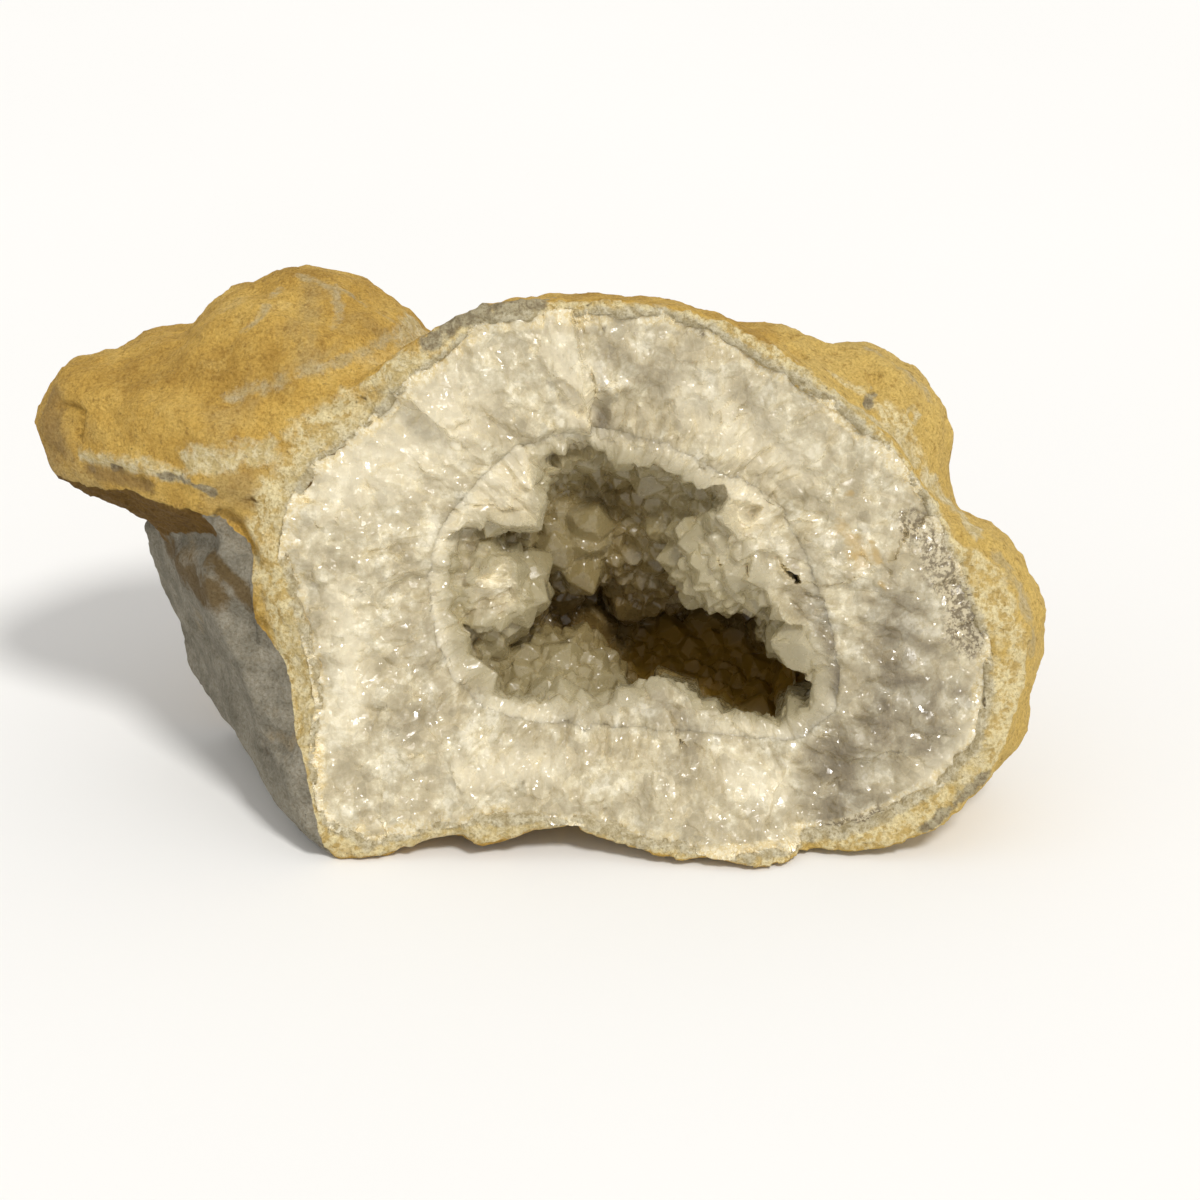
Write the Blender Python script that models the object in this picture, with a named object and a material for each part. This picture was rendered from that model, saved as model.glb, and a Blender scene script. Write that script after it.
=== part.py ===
"""A quartz geode: half of a hollow nodule of ochre limestone, broken open to show its quartz.

The broken face looks towards -Y and leans back a little. A lobe of host rock, the snout, stands out
to the left above a flat grey side, and two smaller lobes bulge on the right. Three pieces make it:
the host rock, the thick wall of massive quartz inside it, and the crust of crystals that lines the
hollow. Sizes in the tables are in millimetres and are turned into metres where they are used.
"""

import math
import random

import bmesh
import bpy
import numpy as np
from mathutils import Matrix, Vector, noise
from mathutils.bvhtree import BVHTree
from mathutils.geometry import delaunay_2d_cdt

MM = 0.001

# The broken face is a plane through the front edge of the base, leaning back by this angle.
FACE_TILT = math.radians(15)
# Neighbouring pieces keep this gap, so that their faceted surfaces never cross.
GAP = 0.3
# Spacing of the points of the fracture surface.
FRACTURE_CELL = 5.6
# The fracture falls away over this width of the rock around the quartz, and less near the top.
RIM_REACH = 14.0
# Triangles of the lining. Each of its corners, half as many, becomes the tip of one crystal.
LINING_TRIANGLES = 1600
# Corners closer than this are merged in the finished pieces.
MERGE_DISTANCE = 0.06
# Half the size of the block that trims the base to a flat spot.
GROUND_SIZE = 150

# Where the quartz ends on the broken face: u to the right, v up the face, and the width of the
# rock rim outside it.
QUARTZ_EDGE = (
    (-20, 102.5, 5.0),
    (-6, 103.5, 4.6),
    (8, 103.6, 3.6),
    (19, 102.0, 3.0),
    (30, 95.5, 4.2),
    (46, 85.0, 3.0),
    (56, 76.0, 3.0),
    (62.5, 63.0, 3.0),
    (69, 51.0, 4.0),
    (73, 38.0, 6.0),
    (72, 27.0, 6.5),
    (65, 16.0, 7.5),
    (55, 10.0, 8.0),
    (45, 5.6, 6.0),
    (33, 3.9, 3.5),
    (19, 4.4, 3.2),
    (7, 6.0, 3.0),
    (-8, 9.6, 3.6),
    (-24, 9.0, 5.4),
    (-38, 5.6, 5.6),
    (-47, 4.0, 4.6),
    (-51.5, 9.0, 3.6),
    (-53, 20.0, 5.0),
    (-53, 34.0, 10.0),
    (-57, 50.0, 14.0),
    (-59, 63.0, 14.0),
    (-54, 74.0, 12.0),
    (-43, 84.0, 8.0),
    (-34, 93.0, 6.0),
)

# The hollow's mouth in the quartz, before the crystals close in on it.
MOUTH_EDGE = (
    (-8, 84.0),
    (8, 81.5),
    (22, 75.5),
    (35, 66.0),
    (41, 54.0),
    (45, 40.0),
    (45, 29.0),
    (36, 23.5),
    (19, 25.0),
    (0, 26.5),
    (-17, 28.0),
    (-28, 34.0),
    (-32.5, 46.0),
    (-32.5, 60.0),
    (-26, 71.0),
    (-18, 79.5),
)

# Each body is drawn straight back from its outline on the face: depth behind the face, scale of
# the outline there, and how far its centre moves along u and v.
ROCK_PROFILE = (
    (-9, 1.00, 0, 0),
    (0, 1.00, 0, 0),
    (12, 0.95, 0, -1.3),
    (26, 0.88, 1, -2.0),
    (42, 0.79, 2, -2.5),
    (56, 0.66, 2, -3),
    (67, 0.46, 2, -4),
    (73, 0.22, 2, -5),
)
QUARTZ_PROFILE = (
    (-9, 1.00, 0, 0),
    (0, 1.00, 0, 0),
    (12, 0.94, 0, -1.5),
    (26, 0.85, 0, -2.5),
    (40, 0.75, 1, -3.5),
    (53, 0.59, 2, -5),
    (61, 0.25, 2, -6),
)
HOLLOW_PROFILE = (
    (-9, 1.02, 0, 1),
    (0, 1.00, 0, 0),
    (10, 0.99, 1, -4),
    (22, 0.92, 5, -11.5),
    (34, 0.78, 9, -16),
    (45, 0.56, 12, -19),
    (52, 0.25, 14, -21),
)
BODY_CENTRE = (8, 52)
HOLLOW_CENTRE = (4, 52)

# Lobes of host rock: centre, radii and turn about the vertical in degrees.
BODY_LOBES = {
    "shoulder": ((49, 44, 68), (20, 20, 20.5), 0),
    "saddle": ((30, 42, 62), (20, 22, 30.5), 0),
    "cheek": ((48.5, 27, 34.5), (37.5, 29, 32.5), 0),
    "jaw": ((47, 26, 20), (38, 25, 23.5), 0),
    "back_hump": ((-22, 68, 46), (38, 26, 34), 12),
    "back_knob": ((30, 66, 48), (30, 22, 28), -15),
    "heel": ((8, 42, 22), (50, 32, 25), 0),
    "nub": ((-21, 7, 5), (5, 7, 4.5), 0),
}
SNOUT_LOBES = {
    "snout_crest": ((-57, 52, 70.5), (28, 32, 30.5), 0),
    "snout_middle": ((-80, 50, 69.5), (25, 29, 17.5), 0),
    "snout_ledge": ((-80, 34, 67), (29, 26, 17), -30),
    "snout_tip": ((-96, 48, 73.5), (12.5, 17, 11.5), 0),
}
# Corners of the angular block under the snout.
LEFT_BLOCK = (
    (-57, 3, -3),
    (-42, 4, -3),
    (-30, 24, -3),
    (-12, 40, -3),
    (-30, 56, -3),
    (-62, 64, 6),
    (-80, 52, -3),
    (-94, 55, 48),
    (-84, 72, 48),
    (-76, 12, 52),
    (-50, 12, 60),
    (-20, 30, 62),
    (-20, 78, 60),
)

# Flat broken sides, each a point and the outward side: the grey one under the snout, and the
# snout's underside and the narrow band along its ledge.
BLOCK_CHIPS = (
    ((-57, 5, 0), (-0.88, -0.44, -0.17)),
    ((-58, 22, 0), (-0.70, -0.27, -0.66)),
)
SNOUT_CHIPS = (
    ((-70, 19, 62), (-0.42, -0.62, -0.66)),
    ((-69, 16.5, 68), (-0.55, -0.83, 0.05)),
)

# Rounded bosses that the crystals grow from: centre and radius.
BOSSES = {
    "left": ((-20.5, 28, 46), 10.0),
    "left_low": ((-25, 31, 33), 9.0),
    "right": ((25, 31, 51), 12.0),
    "right_low": ((39, 31, 38), 9.0),
    "rim_high": ((33, 24, 63), 10.0),
    "rim_middle": ((40, 23, 50), 10.5),
    "rim_low": ((44, 23, 37), 8.5),
    "floor_left": ((-8, 31, 20), 14.0),
    "lip_left": ((-6, 14, 20), 9.5),
    "lip_middle": ((12, 15, 22.5), 9.0),
    "back_left": ((-6, 47, 50), 13.0),
    "back": ((11, 52, 42), 12.0),
    "back_right": ((12, 46, 53), 10.5),
    "back_top": ((19, 44, 60), 12.0),
    "roof": ((-18, 29, 66), 9.0),
}


def face_point(u, v, depth=0.0):
    """A point of the broken face in metres, moved straight back by depth."""
    return Vector((u, v * math.sin(FACE_TILT) + depth, v * math.cos(FACE_TILT))) * MM


def smooth_loop(points, count):
    """count evenly spaced points on a smooth closed curve through points."""
    points = np.array(points, float)
    steps = np.linspace(0, 1, 12, endpoint=False)[:, None]
    dense = []
    for i in range(len(points)):
        a, b, c, d = (points[(i + k) % len(points)] for k in (-1, 0, 1, 2))
        dense.append(
            0.5 * (2 * b + (c - a) * steps + (2 * a - 5 * b + 4 * c - d) * steps**2
                   + (3 * b - a - 3 * c + d) * steps**3)
        )
    dense = np.concatenate(dense)
    dense = np.vstack([dense, dense[:1]])
    along = np.concatenate([[0], np.cumsum(np.linalg.norm(np.diff(dense[:, :2], axis=0), axis=1))])
    wanted = np.linspace(0, along[-1], count, endpoint=False)
    return np.column_stack([np.interp(wanted, along, dense[:, k]) for k in range(dense.shape[1])])


def mesh_object(name, mesh):
    """Link a new object that shows mesh."""
    made = bpy.data.objects.new(name, mesh)
    bpy.context.scene.collection.objects.link(made)
    return made


def object_from_bmesh(name, bm):
    """Turn a bmesh into a linked object with its faces pointing out."""
    bmesh.ops.recalc_face_normals(bm, faces=bm.faces)
    mesh = bpy.data.meshes.new(name)
    bm.to_mesh(mesh)
    bm.free()
    return mesh_object(name, mesh)


def bmesh_of(obj):
    """The object's evaluated mesh as a bmesh, ready for editing."""
    graph = bpy.context.evaluated_depsgraph_get()
    bm = bmesh.new()
    bm.from_object(obj, graph)
    return bm


def apply_modifiers(obj):
    """Replace the object's mesh with its evaluated mesh."""
    graph = bpy.context.evaluated_depsgraph_get()
    mesh = bpy.data.meshes.new_from_object(obj.evaluated_get(graph))
    obj.modifiers.clear()
    obj.data = mesh
    return obj


def boolean(obj, other, operation, self_crossing=False):
    """Cut, join or intersect obj with other, and apply the result."""
    modifier = obj.modifiers.new("boolean", "BOOLEAN")
    modifier.object = other
    modifier.operation = operation
    modifier.use_self = self_crossing
    return apply_modifiers(obj)


def joined(name, objects):
    """One object that holds the meshes of objects, which are removed."""
    bm = bmesh.new()
    for obj in objects:
        obj.data.transform(obj.matrix_world)
        bm.from_mesh(obj.data)
        bpy.data.objects.remove(obj)
    return object_from_bmesh(name, bm)


def drawn_body(name, outline, profile, centre, sides):
    """A closed body drawn back from an outline on the broken face, ring by ring, to a point."""
    loop = smooth_loop(outline, sides)
    bm = bmesh.new()
    rings = []
    for depth, scale, du, dv in profile:
        ring = []
        for u, v in loop[:, :2]:
            u_here = centre[0] + du + (u - centre[0]) * scale
            v_here = centre[1] + dv + (v - centre[1]) * scale
            ring.append(bm.verts.new(face_point(u_here, v_here, depth)))
        rings.append(ring)
    for front, back in zip(rings, rings[1:]):
        for i in range(sides):
            k = (i + 1) % sides
            bm.faces.new((front[i], front[k], back[k], back[i]))
    for ring, reach in ((rings[0], 0), (rings[-1], 2)):
        middle = sum((vertex.co for vertex in ring), Vector()) / sides
        tip = bm.verts.new(middle + Vector((0, reach * MM, 0)))
        for i in range(sides):
            bm.faces.new((ring[i], ring[(i + 1) % sides], tip))
    bmesh.ops.triangulate(bm, faces=bm.faces)
    return object_from_bmesh(name, bm)


def ellipsoid(name, centre, radii, turn=0.0, subdivisions=3):
    """A closed ellipsoid, sizes in millimetres and turn in degrees."""
    bm = bmesh.new()
    bmesh.ops.create_icosphere(bm, subdivisions=subdivisions, radius=1.0)
    size = Matrix.Diagonal((*(r * MM for r in radii), 1))
    spin = Matrix.Rotation(math.radians(turn), 4, "Z")
    bm.transform(Matrix.Translation(Vector(centre) * MM) @ spin @ size)
    return object_from_bmesh(name, bm)


def remeshed(obj, voxel, smoothing):
    """Merge what overlaps in obj into one evenly meshed body and round its creases."""
    remesh = obj.modifiers.new("merge", "REMESH")
    remesh.mode = "VOXEL"
    remesh.voxel_size = voxel * MM
    smooth = obj.modifiers.new("round", "SMOOTH")
    smooth.factor = 0.5
    smooth.iterations = smoothing
    return apply_modifiers(obj)


def decimated(obj, triangles):
    """Bring obj down to about that many triangles, keeping its ridges."""
    bm = bmesh_of(obj)
    bmesh.ops.triangulate(bm, faces=bm.faces)
    count = len(bm.faces)
    bm.to_mesh(obj.data)
    bm.free()
    decimate = obj.modifiers.new("reduce", "DECIMATE")
    decimate.ratio = min(1.0, triangles / count)
    return apply_modifiers(obj)


def chip(obj, point, outward):
    """Slice off what lies beyond a plane and close the cut."""
    bm = bmesh_of(obj)
    cut = bmesh.ops.bisect_plane(
        bm, geom=bm.verts[:] + bm.edges[:] + bm.faces[:], plane_co=Vector(point) * MM,
        plane_no=Vector(outward).normalized(), clear_outer=True,
    )
    edges = [e for e in cut["geom_cut"] if isinstance(e, bmesh.types.BMEdge)]
    if edges:
        bmesh.ops.triangle_fill(bm, edges=edges, use_beauty=True)
    bmesh.ops.recalc_face_normals(bm, faces=bm.faces)
    bm.to_mesh(obj.data)
    bm.free()
    return obj


def block(name, corners):
    """The closed convex block with these corners."""
    bm = bmesh.new()
    for corner in corners:
        bm.verts.new(Vector(corner) * MM)
    bmesh.ops.convex_hull(bm, input=bm.verts)
    return object_from_bmesh(name, bm)


def merged(name, pieces, chips):
    """Merge overlapping pieces into one evenly meshed body and slice its flat sides."""
    body = remeshed(joined(name, pieces), 2.2, 3)
    for point, outward in chips:
        chip(body, point, outward)
    return body


def moved_along_normals(obj, distance):
    """Move each vertex along its normal by distance(position) in millimetres."""
    mesh = obj.data
    shifts = [v.normal * distance(v.co / MM) * MM for v in mesh.vertices]
    for vertex, shift in zip(mesh.vertices, shifts):
        vertex.co += shift
    mesh.update()
    return obj


def copied(obj, name):
    """A second object with its own copy of the mesh."""
    return mesh_object(name, obj.data.copy())


def lumps(position, size, height, seed):
    """Rounded lumps of about that size, as a height from -height to height."""
    return height * noise.noise(Vector(position) / size + Vector((seed, -seed, 2.3 * seed)))


def make_rock_body():
    """The whole nodule before it is broken open: main body, lobes, flat sides and lumps."""
    outline = []
    for u, v, rim in QUARTZ_EDGE:
        out = Vector((u - BODY_CENTRE[0], v - BODY_CENTRE[1])).normalized() * rim
        outline.append((u + out.x, v + out.y))
    main = drawn_body("rock_main", outline, ROCK_PROFILE, BODY_CENTRE, 56)
    lobes = [ellipsoid(name, *shape) for name, shape in BODY_LOBES.items()]
    body = merged("rock_body", [main, *lobes, block("left_block", LEFT_BLOCK)], BLOCK_CHIPS)
    lobes = [ellipsoid(name, *shape) for name, shape in SNOUT_LOBES.items()]
    snout = merged("snout", lobes, SNOUT_CHIPS)
    body = remeshed(joined("rock_body", [body, snout]), 2.0, 5)

    def weathering(p):
        behind = min(1.0, max(0.0, (p.y - p.z * math.tan(FACE_TILT)) / 14))
        return behind * (lumps(p, 24, 2.0, 1) + lumps(p, 9, 1.3, 2)) + lumps(p, 4.5, 0.5, 3)

    moved_along_normals(body, weathering)
    return body


class Facets:
    """A fracture surface of tilted facets: random cells over the face, each with its own slope."""

    def __init__(self, seed, count, slope, step):
        chance = random.Random(seed)
        self.cells = [
            (
                Vector((chance.uniform(-75, 95), chance.uniform(-10, 120))),
                Vector((chance.uniform(-slope, slope), chance.uniform(-slope, slope))),
                chance.uniform(-step, step),
            )
            for _ in range(count)
        ]

    def height(self, u, v):
        here = Vector((u, v))
        middle, slope, offset = min(self.cells, key=lambda cell: (cell[0] - here).length_squared)
        return offset + slope.dot(here - middle)


class Outline:
    """A closed outline on the face that tells how far outside it a point is."""

    def __init__(self, points, centre):
        self.centre = np.array(centre, float)
        loop = smooth_loop([p[:2] for p in points], 240) - self.centre
        angle = np.arctan2(loop[:, 1], loop[:, 0])
        order = np.argsort(angle)
        self.angle = angle[order]
        self.radius = np.linalg.norm(loop[order], axis=1)

    def outside(self, u, v):
        du, dv = u - self.centre[0], v - self.centre[1]
        edge = np.interp(math.atan2(dv, du), self.angle, self.radius, period=2 * math.pi)
        return math.hypot(du, dv) - float(edge)


def scattered(low, high, spacing, chance):
    """Points spread over a rectangle: a triangular grid whose points are nudged off their places."""
    points = []
    rows = round((high[1] - low[1]) / (0.866 * spacing))
    columns = round((high[0] - low[0]) / spacing)
    for j in range(rows + 1):
        for i in range(columns + 1):
            inside = 0 < i < columns and 0 < j < rows
            nudge = 0.36 * spacing if inside else 0
            u = low[0] + (i + 0.5 * (j % 2) * inside) * (high[0] - low[0]) / columns
            v = low[1] + j * (high[1] - low[1]) / rows
            points.append(
                Vector((u + chance.uniform(-nudge, nudge), v + chance.uniform(-nudge, nudge)))
            )
    return points


def make_front_cutter():
    """What was broken away: a block whose near side is the ragged fracture."""
    chance = random.Random(12)
    facets = Facets(seed=4, count=70, slope=0.17, step=0.8)
    mouth = Outline(MOUTH_EDGE, HOLLOW_CENTRE)
    quartz = Outline(QUARTZ_EDGE, BODY_CENTRE)

    def relief(u, v):
        """Height of the fracture towards the viewer, in millimetres."""
        dip = -4.0 * math.exp(-max(0.0, mouth.outside(u, v)) / 7)
        slope = 0.15 if v < 20 else 0.55 if u < -40 else 0.32
        reach = RIM_REACH - 11 * min(1.0, max(0.0, (v - 58) / 16))
        rim = -slope * min(reach, max(0.0, quartz.outside(u, v)))
        return facets.height(u, v) + chance.uniform(-0.55, 0.55) + dip + rim

    points = scattered((-100, -16), (100, 124), FRACTURE_CELL, chance)
    plan, _, faces, *_ = delaunay_2d_cdt(points, [], [], 0, 1e-6)
    bm = bmesh.new()
    verts = [bm.verts.new(face_point(p.x, p.y, -relief(p.x, p.y))) for p in plan]
    for face in faces:
        bm.faces.new([verts[i] for i in face])
    away = bmesh.ops.extrude_face_region(bm, geom=bm.faces[:])["geom"]
    for vertex in (g for g in away if isinstance(g, bmesh.types.BMVert)):
        vertex.co.y = -60 * MM
    bmesh.ops.triangulate(bm, faces=bm.faces)
    return object_from_bmesh("front_cutter", bm)


def along_lip(p):
    """How near p is to the lower lip of the mouth, where the largest crystals stand: 0 to 1."""
    return math.exp(-(((p.y - 11) / 9) ** 2) - ((p.z - 26) / 9) ** 2)


def make_lining():
    """The empty space of the hollow before its crystals: rounded, with its bosses standing in."""
    lining = drawn_body("lining", MOUTH_EDGE, HOLLOW_PROFILE, HOLLOW_CENTRE, 32)
    moved_along_normals(lining, lambda p: -2.2)
    bosses = joined("bosses", [ellipsoid(n, c, (r, r, r), 0, 2) for n, (c, r) in BOSSES.items()])
    boolean(lining, bosses, "DIFFERENCE", self_crossing=True)
    bpy.data.objects.remove(bosses)
    remeshed(lining, 1.3, 5)
    chance = random.Random(31)
    moved_along_normals(lining, lambda p: chance.uniform(-0.45, 0.45) * (1 - 0.6 * along_lip(p)))
    return decimated(lining, LINING_TRIANGLES)


def crossing_faces(bm):
    """Indices of the faces that pass through another face, neighbours aside."""
    bm.faces.ensure_lookup_table()
    tree = BVHTree.FromBMesh(bm)
    found = set()
    for first, second in tree.overlap(tree):
        if first < second and not set(bm.faces[first].verts) & set(bm.faces[second].verts):
            found |= {first, second}
    return found


def grow_crystals(lining):
    """Turn every corner of the lining into a crystal: a point with one flat face per neighbour."""
    chance = random.Random(8)
    bm = bmesh_of(lining)
    tips = [(vertex, vertex.normal.copy()) for vertex in bm.verts]
    spans = bm.edges[:]
    bmesh.ops.poke(bm, faces=bm.faces[:])
    bmesh.ops.rotate_edges(bm, edges=spans)
    feet = {}
    for tip, normal in tips:
        ring = [edge.other_vert(tip).co for edge in tip.link_edges]
        middle = sum(ring, Vector()) / len(ring)
        radius = sum((corner - middle).length for corner in ring) / len(ring)
        wander = Vector([chance.gauss(0, 0.16) for _ in range(3)])
        feet[tip] = middle
        tip.co = middle + (wander - normal).normalized() * radius * chance.uniform(0.6, 1.15)
    for _ in range(12):
        crossing = crossing_faces(bm)
        for tip in {v for index in crossing for v in bm.faces[index].verts if v in feet}:
            tip.co = feet[tip].lerp(tip.co, 0.6)
    bm.to_mesh(lining.data)
    bm.free()
    return lining


def tidied(obj):
    """Merge corners that all but touch and faces that lie in one plane."""
    bm = bmesh_of(obj)
    bmesh.ops.remove_doubles(bm, verts=bm.verts, dist=MERGE_DISTANCE * MM)
    stray = [edge for edge in bm.edges if not edge.link_faces]
    bmesh.ops.delete(bm, geom=stray, context="EDGES")
    bmesh.ops.dissolve_limit(
        bm, angle_limit=math.radians(0.5), verts=bm.verts, edges=bm.edges
    )
    bmesh.ops.triangulate(bm, faces=bm.faces)
    bm.to_mesh(obj.data)
    bm.free()
    return obj


def place_over_origin(pieces):
    """Move the pieces so that their shared box stands on the origin, by the middle of its base."""
    corners = np.array([vertex.co for piece in pieces for vertex in piece.data.vertices])
    low, high = corners.min(axis=0), corners.max(axis=0)
    shift = Vector((-(low[0] + high[0]) / 2, -(low[1] + high[1]) / 2, -low[2]))
    for piece in pieces:
        piece.data.transform(Matrix.Translation(shift))


def material(name, colour, roughness):
    """A plain Principled material."""
    made = bpy.data.materials.new(name)
    made.use_nodes = True
    shader = made.node_tree.nodes["Principled BSDF"]
    shader.inputs["Base Color"].default_value = (*colour, 1)
    shader.inputs["Roughness"].default_value = roughness
    return made


def finish(obj, look):
    """Give obj its material and flat shading."""
    obj.data.materials.clear()
    obj.data.materials.append(look)
    obj.data.shade_flat()
    return obj


def build():
    """Make the three pieces."""
    for obj in list(bpy.data.objects):
        bpy.data.objects.remove(obj)

    rock = decimated(make_rock_body(), 1600)
    ground = block("ground", [
        (x, y, z) for x in (-GROUND_SIZE, GROUND_SIZE) for y in (-GROUND_SIZE, GROUND_SIZE)
        for z in (-GROUND_SIZE, 0)
    ])
    boolean(rock, ground, "DIFFERENCE")
    bpy.data.objects.remove(ground)
    quartz = drawn_body("quartz_wall", QUARTZ_EDGE, QUARTZ_PROFILE, BODY_CENTRE, 38)
    moved_along_normals(quartz, lambda p: lumps(p, 14, 1.2, 5))
    hollow = drawn_body("hollow", MOUTH_EDGE, HOLLOW_PROFILE, HOLLOW_CENTRE, 26)
    front = make_front_cutter()

    rock.name = "host_rock"
    quartz_space = moved_along_normals(copied(quartz, "quartz_space"), lambda p: GAP)
    boolean(rock, quartz_space, "DIFFERENCE")
    boolean(rock, front, "DIFFERENCE")

    boolean(quartz, hollow, "DIFFERENCE")
    boolean(quartz, front, "DIFFERENCE")

    cavity = grow_crystals(make_lining())
    crust = moved_along_normals(copied(hollow, "crystal_crust"), lambda p: -GAP)
    boolean(crust, cavity, "DIFFERENCE")
    boolean(crust, front, "DIFFERENCE")

    for helper in (hollow, front, quartz_space, cavity):
        bpy.data.objects.remove(helper)
    for piece in (rock, quartz, crust):
        tidied(piece)

    place_over_origin((rock, quartz, crust))
    finish(rock, material("limestone", (0.56, 0.38, 0.15), 0.9))
    finish(quartz, material("massive_quartz", (0.68, 0.65, 0.58), 0.45))
    finish(crust, material("crystal_quartz", (0.62, 0.58, 0.46), 0.15))


build()
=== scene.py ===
"""The quartz geode's looks: ochre limestone, a wall of sugary quartz and a hollow lined with crystals."""

import math

import bmesh
import bpy
import numpy as np
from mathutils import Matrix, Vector
from mathutils.bvhtree import BVHTree
from mathutils.kdtree import KDTree


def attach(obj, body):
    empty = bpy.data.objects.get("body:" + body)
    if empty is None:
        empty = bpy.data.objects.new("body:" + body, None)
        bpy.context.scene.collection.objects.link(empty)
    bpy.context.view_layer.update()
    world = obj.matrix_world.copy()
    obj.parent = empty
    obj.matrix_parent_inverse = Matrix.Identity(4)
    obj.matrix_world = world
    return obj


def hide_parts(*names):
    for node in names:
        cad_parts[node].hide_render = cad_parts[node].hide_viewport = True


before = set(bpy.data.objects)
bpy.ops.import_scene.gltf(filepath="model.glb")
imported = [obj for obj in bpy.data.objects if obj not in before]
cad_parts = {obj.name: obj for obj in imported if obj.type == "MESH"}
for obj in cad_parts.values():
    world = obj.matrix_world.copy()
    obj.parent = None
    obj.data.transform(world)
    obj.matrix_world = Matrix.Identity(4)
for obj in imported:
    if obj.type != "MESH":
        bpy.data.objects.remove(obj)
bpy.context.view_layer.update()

# Lengths are in millimetres unless a name says otherwise
MM = 0.001

# The photograph's camera
IMAGE_SIZE = 1200
MM_PER_PIXEL = 0.19
CAMERA_DISTANCE = 600.0
CAMERA_ELEVATION = math.radians(25.0)
SENSOR_WIDTH = 36.0
AIM_HEIGHT = 50.5
AIM_FOOT = np.array((11.1, -45.86, 0.0))
RIGHT = np.array((1.0, 0.0, 0.0))
BACK = np.array((0.0, -math.cos(CAMERA_ELEVATION), math.sin(CAMERA_ELEVATION)))
UP = np.array((0.0, math.sin(CAMERA_ELEVATION), math.cos(CAMERA_ELEVATION)))
CAMERA_PLACE = AIM_FOOT + UP * AIM_HEIGHT + BACK * CAMERA_DISTANCE

# The broken face leans back from its lower edge
FACE_TILT = math.radians(15.0)
FACE_FRONT = -45.86
FACE_NORMAL = np.array((0.0, -math.cos(FACE_TILT), math.sin(FACE_TILT)))

# Mesh sizes
ROCK_CELL = 0.92
WALL_CELL = 0.42
LINING_CELL = 0.66
CRYSTAL_CELL = 0.42
HIDDEN_SAVING = 0.85

SEED = 11


def behind_face(points):
    """How far each point lies behind the plane of the broken face."""
    return -(points - np.array((0.0, FACE_FRONT, 0.0))) @ FACE_NORMAL


def smoothstep(values, low, high):
    part = np.clip((values - low) / (high - low), 0.0, 1.0)
    return part * part * (3.0 - 2.0 * part)


def gradient_noise(points, seed):
    """Smooth noise with lumps one unit across."""
    rng = np.random.default_rng(seed)
    gradients = rng.normal(size=(4096, 3))
    gradients /= np.linalg.norm(gradients, axis=1, keepdims=True)
    corner = np.floor(points).astype(np.int64)
    part = points - corner
    fade = part ** 3 * (part * (part * 6.0 - 15.0) + 10.0)
    total = np.zeros(len(points))
    for step in np.ndindex(2, 2, 2):
        at = corner + step
        key = (at[:, 0] * 73856093) ^ (at[:, 1] * 19349663) ^ (at[:, 2] * 83492791)
        slope = gradients[key & 4095]
        weight = np.prod(np.where(step, fade, 1.0 - fade), axis=1)
        total += weight * np.einsum("nc,nc->n", slope, part - step)
    return total * 1.5


def fractal(points, size, octaves=3, seed=0):
    """Smooth noise of about -1 to 1, with its largest lumps about size across."""
    found = np.zeros(len(points))
    for octave in range(octaves):
        found += 0.5 ** octave * gradient_noise(points * 2.0 ** octave / size, seed * 10 + octave)
    return found


# Meshes as arrays

def new_object(name, mesh):
    obj = bpy.data.objects.new(name, mesh)
    bpy.context.scene.collection.objects.link(obj)
    return obj


def copy_of(node, name):
    """A new object with the node's mesh, where its split corners are joined."""
    work = bmesh.new()
    work.from_mesh(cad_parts[node].data)
    bmesh.ops.remove_doubles(work, verts=work.verts, dist=0.01 * MM)
    mesh = bpy.data.meshes.new(name)
    work.to_mesh(mesh)
    work.free()
    return new_object(name, mesh)


def modified(obj, kind, **settings):
    """Applies one modifier to the object."""
    modifier = obj.modifiers.new("work", kind)
    for key, value in settings.items():
        setattr(modifier, key, value)
    graph = bpy.context.evaluated_depsgraph_get()
    mesh = bpy.data.meshes.new_from_object(obj.evaluated_get(graph))
    obj.modifiers.clear()
    old = obj.data
    obj.data = mesh
    bpy.data.meshes.remove(old)
    mesh.name = obj.name
    return obj


def remeshed(obj, cell):
    return modified(obj, "REMESH", mode="VOXEL", voxel_size=cell * MM, adaptivity=0.0)


def places(obj):
    flat = np.empty(len(obj.data.vertices) * 3)
    obj.data.vertices.foreach_get("co", flat)
    return flat.reshape(-1, 3) / MM


def normals(obj):
    flat = np.empty(len(obj.data.vertices) * 3)
    obj.data.vertices.foreach_get("normal", flat)
    return flat.reshape(-1, 3)


def move_to(obj, points):
    obj.data.vertices.foreach_set("co", (points * MM).ravel())
    obj.data.update()


def attribute(obj, name, values):
    """Gives the mesh a named number at each vertex, for its material to read."""
    layer = obj.data.attributes.new(name, "FLOAT", "POINT")
    layer.data.foreach_set("value", values)


def decimate_hidden(obj, hidden):
    """Makes the marked part of the mesh coarse and leaves the rest alone."""
    group = obj.vertex_groups.new(name="hidden")
    group.add([int(i) for i in np.flatnonzero(hidden)], 1.0, "REPLACE")
    ratio = 1.0 - HIDDEN_SAVING * hidden.mean()
    modified(obj, "DECIMATE", ratio=ratio, vertex_group="hidden", use_collapse_triangulate=True)
    obj.vertex_groups.clear()


def tree_of(obj):
    mesh = obj.data
    corners = [v.co / MM for v in mesh.vertices]
    return BVHTree.FromPolygons(corners, [tuple(p.vertices) for p in mesh.polygons])


def distances(tree, points):
    return np.array([tree.find_nearest(Vector(p))[3] for p in points])


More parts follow.
